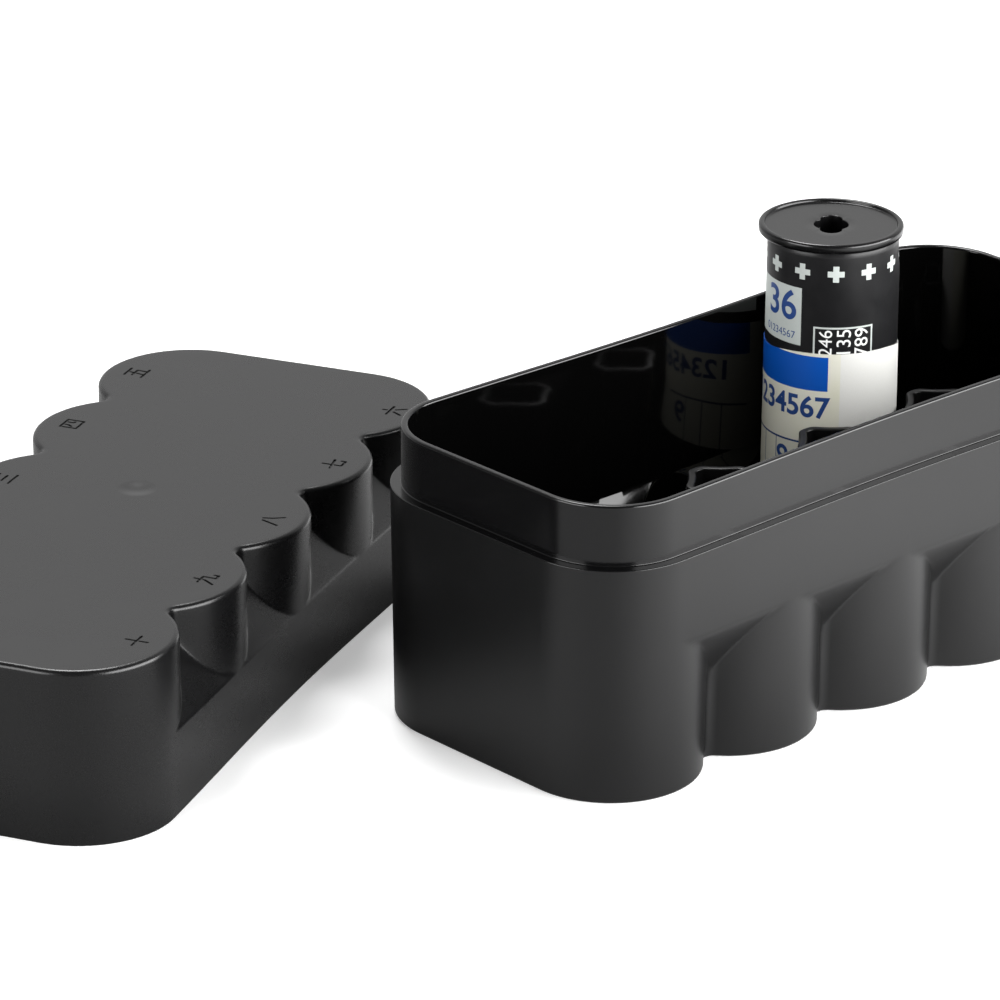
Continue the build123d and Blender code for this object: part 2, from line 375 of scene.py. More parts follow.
class Moulding:
    """The skin of a moulding with scalloped long walls: one closed grid, from the middle of its
    closed end, up the outside, over the rim and down the inside to the middle of its floor."""

    NO_RECESS = -1e3

    def __init__(self, sizes: MouldingSizes, pockets: Pockets, bow: Bow, steps: Steps) -> None:
        """Keeps the sizes and lays out the columns.

        Args:
            sizes: The moulding's own sizes.
            pockets: The pockets that both mouldings share.
            bow: How the long walls lean in.
            steps: How fine the skin is.
        """
        self.sizes, self.pockets, self.bow, self.steps = sizes, pockets, bow, steps
        self.perimeter = Perimeter(pockets, steps)
        self.rise = math.tan(math.radians(sizes.slope))
        self.draft_rate = math.tan(math.radians(sizes.draft))
        self.pocket_rate = math.tan(math.radians(pockets.draft))
        self.closed_radius = sizes.rim_radius - sizes.height * self.draft_rate
        self.inner_root = sizes.recess_root + self.closed_radius - pockets.radius
        self.inner_roof = sizes.recess_height + sizes.recess_wall / math.cos(math.radians(sizes.slope))

    def outer_radius(self, height: Array) -> Array:
        """Radius of the drafted outside at a height."""
        return self.closed_radius + height * self.draft_rate

    def inner_radius(self, height: Array) -> Array:
        """Radius of the drafted inside at a height."""
        return self.pockets.radius + (height - self.sizes.floor) * self.pocket_rate

    def place(
        self, height: Array, radius: Array, root: Array | float, roof: Array | float, edge: float
    ) -> Array:
        """Points of the wall at these heights and radii.

        The long wall stands back from its flat face by the lesser of the gap's depth and the
        recess's, which its sloping roof gives.

        Args:
            height: Height of each point.
            radius: Radius round the pockets.
            root: Radius of the root circles.
            roof: How far the recess's roof lies behind the flat face there.
            edge: Size of the rounding where the roof meets the face.

        Returns:
            Points (rows, columns of the whole trip, 3).
        """
        x, y, valley = self.perimeter.valley(radius, root)
        depth = soft_min(valley, rounded_ramp(roof + 0 * valley, edge), self.sizes.sharpness)
        height = height + 0 * x
        lean = self.bow.at(x, height, self.pockets.end_x + self.pockets.radius)
        y = np.where(self.perimeter.at_y < self.pockets.row_y - 1e-6, y, y - depth - lean)
        half = np.stack([x, y, height], -1)
        return np.concatenate([half, half * (-1, -1, 1)], 1)

    def slopes(self, start: float, end: float, outside: bool) -> Array:
        """A wall from one height to another, its rows gathered at the recess's creases.

        Every column has its own heights: the crease lies where the sloping roof is as deep as
        the gap, and the recess's edge where the roof meets the wall's face.

        Args:
            start: Height of the first row.
            end: Height of the last row, above start.
            outside: Whether this is the outside of the wall.

        Returns:
            Points (rows, columns, 3), upwards.
        """
        sizes, steps = self.sizes, self.steps
        radius_at = self.outer_radius if outside else self.inner_radius
        root = sizes.recess_root if outside else self.inner_root
        roof_height = sizes.recess_height if outside else self.inner_roof
        rounding = sizes.edge if outside else sizes.inner_edge
        face = radius_at(roof_height) - self.closed_radius
        edge = roof_height + self.rise * face
        valley = self.perimeter.valley(radius_at(edge), root)[2]
        crease = np.clip(edge - self.rise * valley, start + 1.5, edge - 2.5 * rounding - sizes.crease)
        knots = [
            (start + 0 * valley, steps.wall),
            (crease - sizes.crease, steps.crease),
            (crease + sizes.crease, steps.wall),
            (edge - 1.5 * rounding + 0 * valley, steps.crease),
            (edge + 1.5 * rounding + 0 * valley, steps.wall),
            (end + 0 * valley, 0),
        ]
        heights = [
            low + (high - low) * (np.arange(count) / count)[:, None]
            for (low, count), (high, _) in zip(knots, knots[1:])
        ]
        height = np.concatenate([*heights, knots[-1][0]])
        radius = radius_at(height)
        roof = radius - self.closed_radius - (height - roof_height) / self.rise
        return self.place(height, radius, root, roof, rounding)

    def bend(self, radius: Array, height: Array) -> Array:
        """Rows of a small rounding or ledge, with no recess in them.

        Args:
            radius: Radius of each row, (rows, 1).
            height: Height of each row, (rows, 1).

        Returns:
            Points (rows, columns, 3).
        """
        return self.place(height, radius, self.sizes.recess_root, self.NO_RECESS, self.sizes.edge)

    def closed_edge(self) -> Array:
        """The rounding between the closed end and the outside, from the end outwards."""
        turn = quarter_turn(self.steps.rounding)
        size = self.sizes.closed_round
        height = size * (1 - np.cos(turn))
        inset = size * (1 - np.sin(turn))
        radius = self.outer_radius(height) - inset
        roof = radius - self.closed_radius - (height - self.sizes.recess_height) / self.rise
        return self.place(height, radius, self.sizes.recess_root + inset, roof, self.sizes.edge)[:-1]

    def floor_edge(self) -> Array:
        """The hollow rounding between the inside and the floor, from the floor outwards."""
        turn = quarter_turn(self.steps.rounding)
        size = self.sizes.closed_round
        height = self.sizes.floor + size * (1 - np.cos(turn))
        inset = size * (1 - np.sin(turn))
        radius = self.inner_radius(height) - inset
        roof = radius - self.closed_radius - (height - self.inner_roof) / self.rise
        return self.place(height, radius, self.inner_root + inset, roof, self.sizes.inner_edge)[:-1]

    def cap(self, contour: Array) -> Array:
        """Rows that run from the spine between the two rows of pockets out to a flat contour.

        Args:
            contour: The contour's points, (columns, 3).

        Returns:
            Points (rows, columns, 3), the first row all on the spine.
        """
        spine = contour * (1, 0, 1)
        spine[:, 0] = np.clip(spine[:, 0], -self.pockets.end_x, self.pockets.end_x)
        share = np.array([0, 0.5, 0.97])[:, None, None]
        return spine + (contour - spine) * share

    def step_rows(self) -> list[Array]:
        """The rows between the outside wall and the inside wall, over the rim."""
        raise NotImplementedError

    def rows(self) -> tuple[Array, int, int]:
        """All rows of the skin.

        Returns:
            Points (rows, columns, 3), the number of rows on the outside, and their number with
            those over the rim.
        """
        sizes = self.sizes
        foot, floor = self.closed_edge(), self.floor_edge()
        outside = self.slopes(sizes.closed_round, sizes.height - sizes.ledge_round, True)
        over = np.concatenate(self.step_rows())
        inside = self.slopes(sizes.floor + sizes.closed_round, self.inside_top(), False)
        down = [inside[::-1], floor[::-1], self.cap(floor[0])[::-1]]
        cap = self.cap(foot[0])
        first = len(cap) + len(foot) + len(outside)
        return np.concatenate([cap, foot, outside, over, *down]), first, first + len(over)

    def inside_top(self) -> float:
        """Height at which the inside wall ends, below the rounding above it."""
        raise NotImplementedError

    def outer_ledge(self) -> Array:
        """The rounding at the top of the outside wall."""
        turn, size = quarter_turn(self.steps.rounding), self.sizes.ledge_round
        radius = self.outer_radius(self.sizes.height) - size * (1 - np.cos(turn))
        return self.bend(radius, self.sizes.height - size * (1 - np.sin(turn)))[1:]


class BaseTray(Moulding):
    """The base: its wall ends in a ledge, and a lip stands inside that."""

    @property
    def rim_height(self) -> float:
        """Height of the lip's top."""
        return self.sizes.height + self.sizes.step_height

    def inside_top(self) -> float:
        """Height at which the inside wall ends, below the rim's rounding."""
        return self.rim_height - self.sizes.rim_round

    def step_rows(self) -> list[Array]:
        """The ledge, the lip's outside and the rim."""
        sizes, turn = self.sizes, quarter_turn(self.steps.rounding)
        root, size, lip = sizes.ledge_round, sizes.rim_round, sizes.step_radius
        inner = self.inner_radius(self.rim_height)
        return [
            self.outer_ledge(),
            self.bend(lip + root * (1 - np.sin(turn)), sizes.height + root * (1 - np.cos(turn))),
            self.bend(lip - size * (1 - np.cos(turn)), self.rim_height - size * (1 - np.sin(turn))),
            self.bend(inner + size * (1 - np.sin(turn)), self.rim_height - size * (1 - np.cos(turn)))[:-1],
        ]


class LidCover(Moulding):
    """The lid: its wall ends in a flat rim, with a socket for the base's lip inside it."""

    def inside_top(self) -> float:
        """Height at which the inside wall ends, below the socket's step."""
        return self.sizes.height - self.sizes.step_height - self.sizes.ledge_round

    def step_rows(self) -> list[Array]:
        """The rim, the socket's wall and its step."""
        sizes, turn = self.sizes, quarter_turn(self.steps.rounding)
        size, socket, height = sizes.ledge_round, sizes.step_radius, sizes.height
        step = height - sizes.step_height
        inner = self.inner_radius(step)
        return [
            self.outer_ledge(),
            self.bend(socket + size * (1 - np.sin(turn)), height - size * (1 - np.cos(turn))),
            self.bend(socket - size * (1 - np.cos(turn)), step + size * (1 - np.sin(turn))),
            self.bend(inner + size * (1 - np.sin(turn)), step - size * (1 - np.cos(turn)))[:-1],
        ]


@dataclass(frozen=True)
class StarPosts:
    """Hollow posts on the centre line, each a star between four pockets, open at the top."""

    pockets: Pockets
    floor: float = 2.0
    height: float = 35.0
    relief: float = 1.15
    reach: float = 6.99
    wall: float = 1.3
    end_spread: float = 11.0
    sink: float = 0.2
    rim_round: float = 0.3
    sharpness: float = 26.0
    columns: int = 240

    def radius(self, angle: Array, grow: float, end: bool) -> Array:
        """How far the star reaches at an angle: the least of its outer limit and the near side
        of each pocket circle, b - sqrt(b² - D² + R²) with b the centre's distance along the ray.

        Args:
            angle: The ray's angle.
            grow: How far this outline lies inside the post's outside.
            end: Whether this is a half post, which a flat cuts at the end wall.

        Returns:
            The radius, with its corners rounded.
        """
        half_x, half_y = self.pockets.pitch_x / 2, self.pockets.row_y
        cos, sin = np.abs(np.cos(angle)), np.abs(np.sin(angle))
        radius = self.pockets.radius + self.relief + grow
        distance = math.hypot(half_x, half_y)
        along = half_x * cos + half_y * sin
        inside = along**2 - distance**2 + radius**2
        side = np.where(inside > 0, along - np.sqrt(np.maximum(inside, 0)), 1e3)
        limit = np.full_like(angle, self.reach - grow)
        if end:
            across = (self.reach - grow) / np.maximum(cos, 1e-6)
            limit = soft_min(across, (self.end_spread - grow) / np.maximum(sin, 1e-6), self.sharpness)
            wall = (0.5 - grow * 0.6) / np.maximum(-np.cos(angle), 1e-6)
            limit = np.where(np.cos(angle) < 0, np.minimum(limit, wall), limit)
        return soft_min(side, limit, self.sharpness)

    def points(self, x: float, facing: float) -> Array:
        """One post's grid, up the outside, over the rim and down the inside.

        Args:
            x: Where the post stands.
            facing: Zero for a whole post, or the side that a half post's open part faces.

        Returns:
            Points (rows, columns, 3).
        """
        angle = np.arange(self.columns) * 2 * math.pi / self.columns
        end = facing != 0
        outer, inner = self.radius(angle, 0, end), self.radius(angle, self.wall, end)
        turn = quarter_turn(5)
        drop = self.rim_round * (1 - np.sin(turn))
        tuck = self.rim_round * (1 - np.cos(turn))
        low = np.full((1, 1), self.floor - self.sink)
        radius = np.concatenate([outer + 0 * low, outer - tuck, inner + tuck[::-1], inner + 0 * low])
        height = np.concatenate([low, self.height - drop, self.height - drop[::-1], low])
        sign = facing if end else 1
        x_side = x + sign * radius * np.cos(angle)
        return np.stack([x_side, radius * np.sin(angle), height + 0 * radius], -1)


@dataclass(frozen=True)
class Numerals:
    """Numerals one to ten, cut into the lid's top in straight strokes with round ends."""

    size: float = 3.8
    stroke: float = 0.5
    depth: float = 0.3
    inset: float = 5.9
    end_steps: int = 7

    STROKES = {
        1: [[(-0.5, 0), (0.5, 0)]],
        2: [[(-0.35, 0.3), (0.35, 0.3)], [(-0.5, -0.35), (0.5, -0.35)]],
        3: [[(-0.4, 0.42), (0.4, 0.42)], [(-0.3, 0), (0.3, 0)], [(-0.5, -0.42), (0.5, -0.42)]],
        4: [
            [(-0.45, 0.4), (0.45, 0.4), (0.45, -0.4), (-0.45, -0.4), (-0.45, 0.4)],
            [(-0.15, 0.4), (-0.15, 0.12), (-0.28, -0.08)],
            [(0.15, 0.4), (0.15, 0), (0.28, -0.03)],
        ],
        5: [
            [(-0.42, 0.45), (0.42, 0.45)],
            [(0, 0.45), (-0.16, -0.45)],
            [(-0.34, 0.08), (0.28, 0.08), (0.25, -0.45)],
            [(-0.5, -0.45), (0.5, -0.45)],
        ],
        6: [
            [(0, 0.5), (0, 0.32)],
            [(-0.5, 0.15), (0.5, 0.15)],
            [(-0.14, -0.08), (-0.4, -0.5)],
            [(0.14, -0.08), (0.4, -0.5)],
        ],
        7: [[(-0.5, -0.02), (0.5, 0.14)], [(-0.08, 0.5), (-0.08, -0.4), (0.46, -0.4), (0.46, -0.2)]],
        8: [[(-0.13, 0.35), (-0.46, -0.45)], [(0.1, 0.42), (0.22, 0), (0.48, -0.45)]],
        9: [
            [(-0.08, 0.5), (-0.12, 0), (-0.46, -0.5)],
            [(-0.42, 0.2), (0.2, 0.2), (0.18, -0.4), (0.5, -0.4), (0.5, -0.2)],
        ],
        10: [[(-0.5, 0), (0.5, 0)], [(0, 0.5), (0, -0.5)]],
    }

    def place(self, number: int, pockets: Pockets, top_radius: float) -> tuple[float, float]:
        """Where a numeral stands: one to five on the far row, six to ten back again.

        Args:
            number: The numeral.
            pockets: The pockets below the lid.
            top_radius: Radius of the lid's top round the pockets.

        Returns:
            X and Y on the lid.
        """
        far_row = number <= pockets.long
        along = number - 1 if far_row else 2 * pockets.long - number
        across = pockets.row_y + top_radius - self.inset
        return (along - (pockets.long - 1) / 2) * pockets.pitch_x, across if far_row else -across

    def stroke_points(self, start: Array, end: Array, top: float) -> Array:
        """One stroke as an upright prism: a rectangle with a half circle at each end.

        Args:
            start: First point of the stroke.
            end: Its last point.
            top: Height of the face that it is cut into.

        Returns:
            Points (4, columns, 3): the middle and the outline of each end face.
        """
        run = end - start
        heading = math.atan2(run[1], run[0])
        turn = np.linspace(math.pi / 2, 3 * math.pi / 2, self.end_steps)
        angle = np.concatenate([turn, turn + math.pi]) + heading
        centre = np.repeat(np.array([start, end]), self.end_steps, 0)
        ring = centre + self.stroke / 2 * np.stack([np.cos(angle), np.sin(angle)], -1)
        middle = np.broadcast_to((start + end) / 2, ring.shape)
        heights = (top - self.depth, top - self.depth, top + self.depth, top + self.depth)
        layers = zip((middle, ring, ring, middle), heights)
        return np.stack([np.insert(layer, 2, height, 1) for layer, height in layers])


@dataclass(frozen=True)
class LidPlace:
    """Where the lid lies, top up: turned about Z, with its middle at this place."""

    x: float = -84.80
    y: float = 68.30
    turn: float = 25.8

    def move(self, points: Array) -> Array:
        """Points of the lid as it lies, from points with the top up, centred on the origin.

        Args:
            points: Array (..., 3).

        Returns:
            The points turned and moved.
        """
        cos, sin = math.cos(math.radians(self.turn)), math.sin(math.radians(self.turn))
        turned = points @ np.array([[cos, sin, 0], [-sin, cos, 0], [0, 0, 1]])
        return turned + (self.x, self.y, 0)


@dataclass(frozen=True)
class GateMark:
    """The shallow round mark that the moulding gate left on the lid's top."""

    x: float = 4.3
    y: float = 1.9
    diameter: float = 8.0
    depth: float = 0.34
    rise: float = 0.012
    rows: int = 14
    columns: int = 48

    def points(self, top: float) -> Array:
        """A lens that cuts a dish of this depth and diameter: the dish falls by half of
        1 + cos of its share of the radius, so that it meets the face softly, and a flat closes it
        above.

        Args:
            top: Height of the face that it is cut into.

        Returns:
            Points (rows, columns, 3).
        """
        angle = np.linspace(0, 2 * math.pi, self.columns, endpoint=False)
        share = np.linspace(0, 1, self.rows)[:, None]
        fall = self.depth * (1 + np.cos(math.pi * share)) / 2 - self.rise
        share = np.concatenate([share, [[1.0], [0.0]]])
        height = top + np.concatenate([-fall, [[self.depth], [self.depth]]]) + 0 * angle
        radius = self.diameter / 2 * share + 0 * angle
        x, y = self.x + radius * np.cos(angle), self.y + radius * np.sin(angle)
        return np.stack([x, y, height], -1)


# Shaders


class Value:
    """A socket in a shader that adds Math nodes when it is used in an expression."""

    def __init__(self, shader: "Shader", socket: bpy.types.NodeSocket) -> None:
        """Keeps the socket and the shader that it belongs to."""
        self.shader, self.socket = shader, socket

    def math(self, operation: str, *others: "Value | float", flip: bool = False) -> "Value":
        """A Math node of this value and others.

        Args:
            operation: The node's operation.
            others: The other values or numbers.
            flip: Whether this value comes last.

        Returns:
            The node's result.
        """
        values = [*others, self] if flip else [self, *others]
        inputs = dict(enumerate(values))
        return self.shader.node("ShaderNodeMath", {"operation": operation}, inputs).out()

    def __add__(self, other: "Value | float") -> "Value":
        """The sum."""
        return self.math("ADD", other)

    __radd__ = __add__

    def __sub__(self, other: "Value | float") -> "Value":
        """The difference."""
        return self.math("SUBTRACT", other)

    def __rsub__(self, other: float) -> "Value":
        """The difference from a number."""
        return self.math("SUBTRACT", other, flip=True)

    def __mul__(self, other: "Value | float") -> "Value":
        """The product."""
        return self.math("MULTIPLY", other)

    __rmul__ = __mul__

    def __truediv__(self, other: "Value | float") -> "Value":
        """The quotient."""
        return self.math("DIVIDE", other)

    def above(self, other: "Value | float") -> "Value":
        """One where this is greater, and nothing elsewhere."""
        return self.math("GREATER_THAN", other)

    def below(self, other: "Value | float") -> "Value":
        """One where this is less, and nothing elsewhere."""
        return self.math("LESS_THAN", other)

    def within(self, low: float, high: float) -> "Value":
        """One between two numbers, and nothing elsewhere."""
        return self.above(low) * self.below(high)

    def size(self) -> "Value":
        """The value without its sign."""
        return self.math("ABSOLUTE")

    def either(self, other: "Value") -> "Value":
        """The greater of two masks."""
        return self.math("MAXIMUM", other)

    def clamp(self) -> "Value":
        """The value kept between nothing and one."""
        return self.math("MAXIMUM", 0.0).math("MINIMUM", 1.0)


class Node:
    """A shader node whose outputs are read as values."""

    def __init__(self, shader: "Shader", node: bpy.types.Node) -> None:
        """Keeps the node and the shader that it belongs to."""
        self.shader, self.node = shader, node

    def out(self, name: str | int = 0) -> Value:
        """One of the node's outputs."""
        return Value(self.shader, self.node.outputs[name])


class Shader:
    """A node tree, with one method that adds any node to it."""

    def __init__(self, tree: bpy.types.NodeTree) -> None:
        """Empties the tree."""
        self.tree = tree
        tree.nodes.clear()

    def node(self, kind: str, settings: dict | None = None, inputs: dict | None = None) -> Node:
        """Adds a node.

        Args:
            kind: The node's type.
            settings: Its own settings, which are set first.
            inputs: Values or links of its sockets, by name or number.

        Returns:
            The node.
        """
        node = self.tree.nodes.new(kind)
        for name, value in (settings or {}).items():
            setattr(node, name, value)
        for name, value in (inputs or {}).items():
            if isinstance(value, Value):
                self.tree.links.new(value.socket, node.inputs[name])
            else:
                node.inputs[name].default_value = value
        return Node(self, node)

    def noise(self, place: Value, size: float, detail: float = 2.0, roughness: float = 0.5) -> Value:
        """Noise between nothing and one.

        Args:
            place: The coordinates that it reads, in metres.
            size: Size of its blotches, in millimetres.
            detail: How many finer layers it has.
            roughness: How strong those are.

        Returns:
            The noise.
        """
        inputs = {"Vector": place, "Scale": 1 / (size * MM), "Detail": detail, "Roughness": roughness}
        return self.node("ShaderNodeTexNoise", None, inputs).out("Fac")

    def mix(self, share: Value, first: tuple | Value, second: tuple | Value) -> Value:
        """A colour between two.

        Args:
            share: How much of the second there is.
            first: Colour where share is nothing.
            second: Colour where share is one.

        Returns:
            The colour.
        """
        node = self.node("ShaderNodeMix", {"data_type": "RGBA"}, {0: share, 6: first, 7: second})
        return node.out(2)

    def bump(self, height: Value, depth: float, strength: float = 1.0) -> Value:
        """A normal from a height between nothing and one.

        Args:
            height: The height.
            depth: What a height of one stands for, in millimetres.
            strength: The node's strength.

        Returns:
            The normal.
        """
        inputs = {"Height": height, "Distance": depth * MM, "Strength": strength}
        return self.node("ShaderNodeBump", None, inputs).out("Normal")


def new_material(name: str) -> tuple[bpy.types.Material, Shader]:
    """A material with an empty node tree.

    Args:
        name: Its name.

    Returns:
        The material and its shader.
    """
    material = bpy.data.materials.new(name)
    material.use_nodes = True
    return material, Shader(material.node_tree)


def finish_surface(shader: Shader, inputs: dict) -> None:
    """Ends a material in one Principled surface.

    Args:
        shader: The material's shader.
        inputs: Values or links of the surface's sockets.
    """
    surface = shader.node("ShaderNodeBsdfPrincipled", None, inputs)
    shader.node("ShaderNodeOutputMaterial", None, {"Surface": surface.out()})


def rgb(red: float, green: float, blue: float) -> tuple[float, float, float, float]:
    """An opaque colour."""
    return red, green, blue, 1.0


@dataclass(frozen=True)
class MouldedPlastic:
    """Black moulded plastic: a fine grain, slow changes of gloss and slight sink marks."""

    name: str
    colour: tuple = (0.003, 0.003, 0.0032)
    roughness: float = 0.34
    gloss_change: float = 0.06
    cloud: float = 9.0
    cloud_edge: float = 0.35
    cloud_share: float = 0.6
    lighter: float = 1.25
    grain: float = 0.22
    grain_gloss: float = 0.06
    grain_depth: float = 0.0035
    sink: float = 17.0
    sink_depth: float = 0.012
    reflection: float = 0.42

    def material(self) -> bpy.types.Material:
        """The finished material."""
        material, shader = new_material(self.name)
        place = shader.node("ShaderNodeTexCoord").out("Object")
        grain = shader.noise(place, self.grain, 3.0, 0.6)
        cloud = shader.noise(place, self.cloud, 4.0, 0.55)
        sink = shader.noise(place, self.sink, 1.0, 0.4)
        roughness = self.roughness + (cloud - 0.5) * self.gloss_change + (grain - 0.5) * self.grain_gloss
        share = (cloud - self.cloud_edge).clamp() * self.cloud_share
        low = rgb(*self.colour)
        high = rgb(*(self.lighter * channel for channel in self.colour))
        height = grain * self.grain_depth + sink * self.sink_depth
        inputs = {
            "Base Color": shader.mix(share, low, high),
            "Roughness": roughness,
            "Specular IOR Level": self.reflection,
            "Normal": shader.bump(height, 1.0),
        }
        finish_surface(shader, inputs)
        return material


@dataclass(frozen=True)
class PrintPlaces:
    """Where the roll's printing stands: angles in degrees round the roll, heights above the
    surface that the case stands on."""

    cross_height: float = 61.9
    cross_first: float = 167.0
    cross_pitch: float = 30.0
    cross_reach: float = 1.45
    cross_arm: float = 0.52
    label: tuple = (110.0, 197.0, 48.3, 58.8)
    frame: tuple = (208.5, 262.3, 34.0, 52.2)
    frame_line: float = 0.32
    block: tuple = (116.0, 222.5, 40.4, 46.7)
    cream_edge: float = 233.0
    rule: tuple = (116.0, 199.0, 30.4, 30.75)
    bars: tuple = (138.0, 156.0, 173.0)


@dataclass(frozen=True)
class RollSizes:
    """Sizes of the film roll and where it stands."""

    x: float = 26.8
    y: float = 14.7
    foot: float = 2.0
    length: float = 65.5
    flange: float = 12.55
    flange_thickness: float = 1.7
    flange_rim: float = 1.1
    flange_dish: float = 0.5
    flange_round: float = 0.55
    core: float = 6.0
    hole: float = 3.0
    hole_depth: float = 2.0
    slot_half: float = 4.55
    slot_width: float = 1.9
    slot_depth: float = 9.0
    slot_turn: float = 43.0
    paper: float = 11.4
    paper_gap: float = 0.1
    band_thickness: float = 0.15
    band_low: float = 22.15
    band_high: float = 47.28
    wound_x: float = 0.29
    wound_y: float = -0.27
    columns: int = 192

    @property
    def top(self) -> float:
        """Height of the roll's upper end."""
        return self.foot + self.length

    @property
    def paper_low(self) -> float:
        """Height of the paper's lower edge."""
        return self.foot + self.flange_thickness + self.paper_gap

    @property
    def paper_high(self) -> float:
        """Height of the paper's upper edge."""
        return self.top - self.flange_thickness - self.paper_gap


def ring_grid(sizes: RollSizes, radius: Array, height: Array, angle: Array, wound: bool = True) -> Array:
    """Points round the roll's axis, or round the wound paper's, which lies a little aside.

    Args:
        sizes: Where the roll stands.
        radius: Radius of each point.
        height: Its height.
        angle: Its angle, from +X.
        wound: Whether the points belong to the wound paper.

    Returns:
        Points (rows, columns, 3).
    """
    radius, height, angle = np.broadcast_arrays(radius, height, angle)
    x, y = sizes.x + wound * sizes.wound_x, sizes.y + wound * sizes.wound_y
    return np.stack([x + radius * np.cos(angle), y + radius * np.sin(angle), height], -1)


class FilmRoll:
    """The film roll: its spool, the wound paper, the band round it and what is printed on them."""

    def __init__(self, sizes: RollSizes, prints: PrintPlaces) -> None:
        """Keeps the sizes.

        Args:
            sizes: The roll's sizes.
            prints: Where its printing stands.
        """
        self.sizes, self.prints = sizes, prints
        self.angle = np.arange(sizes.columns) * 2 * math.pi / sizes.columns

    def key_outlines(self) -> tuple[Array, Array]:
        """The slot's outline and the outline of slot and round hole together, as radii.

        The slot is a rectangle with a half circle at each end. A ray leaves it through a straight
        side where that side is nearer than the half circle's start, or else through the half
        circle.

        Returns:
            The slot's radius and the joint outline's radius, each (columns,).
        """
        sizes = self.sizes
        ray = self.angle - math.radians(sizes.slot_turn)
        cos, sin = np.abs(np.cos(ray)), np.abs(np.sin(ray))
        straight = sizes.slot_half - sizes.slot_width
        through_side = sizes.slot_width / np.maximum(sin, 1e-6)
        round_end = straight * cos + np.sqrt(np.maximum(sizes.slot_width**2 - (straight * sin) ** 2, 0))
        slot = np.where(through_side * cos <= straight, through_side, round_end)
        return slot, np.maximum(slot, sizes.hole)

    def half_spool(self) -> Array:
        """Rows of the spool from the bottom of its upper key slot to the middle of its core.

        Returns:
            Points as radius and height, (rows, columns, 2).
        """
        sizes = self.sizes
        slot, key = self.key_outlines()
        turn = quarter_turn(6)
        rise, run = 1 - np.cos(turn), 1 - np.sin(turn)
        edge, soft, lip = sizes.flange_round, 0.3, 0.15
        rim, dish = sizes.flange - sizes.flange_rim, sizes.top - sizes.flange_dish
        under = sizes.top - sizes.flange_thickness
        share = np.linspace(0, 1, 5)[1:-1, None]
        stretches = [
            (0 * slot, sizes.top - sizes.slot_depth),
            (slot, sizes.top - sizes.slot_depth),
            (slot, sizes.top - sizes.hole_depth),
            (key, sizes.top - sizes.hole_depth),
            (key + lip * rise, dish - lip * run),
            (key + lip + (rim - soft - key - lip) * share, dish),
            (rim - soft * run, dish + soft * rise),
            (rim + soft * rise, sizes.top - soft * run),
            (sizes.flange - edge * run, sizes.top - edge * rise),
            (sizes.flange - edge * rise, under + edge * run),
            (sizes.core, under),
            (sizes.core, sizes.foot + sizes.length / 2),
        ]
        rows = [
            np.stack(np.broadcast_arrays(radius + 0 * slot, height + 0 * slot), -1)
            for radius, height in stretches
        ]
        return np.concatenate([row.reshape(-1, sizes.columns, 2) for row in rows])

    def make_spool(self) -> bpy.types.Object:
        """The spool, as one closed skin: its upper half and the same upside down."""
        sizes = self.sizes
        upper = self.half_spool()
        lower = upper[::-1].copy()
        lower[..., 1] = 2 * sizes.foot + sizes.length - lower[..., 1]
        grid = np.concatenate([upper, lower])
        points = ring_grid(sizes, grid[..., 0], grid[..., 1], self.angle, wound=False)
        piece = mesh_from("roll_spool", points, grid_quads(*points.shape[:2], False, True))
        weld(piece)
        even_shading(piece)
        return piece

    def make_sleeve(self, name: str, profile: Array, wave: Array) -> bpy.types.Object:
        """A wound sleeve with a UV map of degrees / 360 and millimetres / 100.

        Args:
            name: The piece's name.
            profile: Radius and height of each row, the rows running once round the sleeve's
                section.
            wave: What is added to each point's height, (rows, columns).

        Returns:
            The sleeve.
        """
        sizes = self.sizes
        radius, height = profile[:, :1], profile[:, 1:] + wave
        swell = self.swell(self.angle, height)
        points = ring_grid(sizes, radius + swell, height, self.angle)
        rows, columns = points.shape[:2]
        quads = grid_quads(rows, columns, True, True)
        piece = mesh_from(name, points, quads)
        around = np.arange(columns)[None, :] / columns + 0 * height
        turn_u = around.ravel()[quads]
        turn_u[:, 1:3] = turn_u[:, :1] + 1 / columns
        along_v = height.ravel()[quads] / 100
        layer = piece.data.uv_layers.new(name="print_places")
        layer.data.foreach_set("uv", np.stack([turn_u, along_v], -1).ravel())
        piece.data.shade_smooth()
        even_shading(piece, 50)
        return piece

    def swell(self, angle: Array, height: Array) -> Array:
        """How far the wound paper stands out from a true cylinder.

        A slow wave round the roll and along it, and a loose end that lifts a little, low at the
        right of the crosses.

        Args:
            angle: Angle round the roll.
            height: Height above the surface that the case stands on.

        Returns:
            The swell, in millimetres.
        """
        wave = 0.035 * np.sin(2 * angle + height / 9) + 0.02 * np.sin(5 * angle - height / 5)
        near = np.exp(-(((np.degrees(angle) - 318) / 16) ** 2))
        loose = 0.3 * near * (1 - 1 / (1 + np.exp(-(height - 60.3) / 0.6)))
        return wave + loose

    def make_paper(self) -> bpy.types.Object:
        """The wound backing paper, from the film pack outwards."""
        sizes = self.sizes
        low, high, corner = sizes.paper_low, sizes.paper_high, 0.12
        heights = np.linspace(low + corner, high - corner, 60)
        side = np.stack([np.full(60, sizes.paper), heights], -1)
        inner = sizes.core + 4
        outer = sizes.paper - corner
        ends = np.array([(outer, high), (inner, high), (inner, low), (outer, low)])
        profile = np.concatenate([side, ends])
        return self.make_sleeve("roll_paper", profile, np.zeros((64, sizes.columns)))

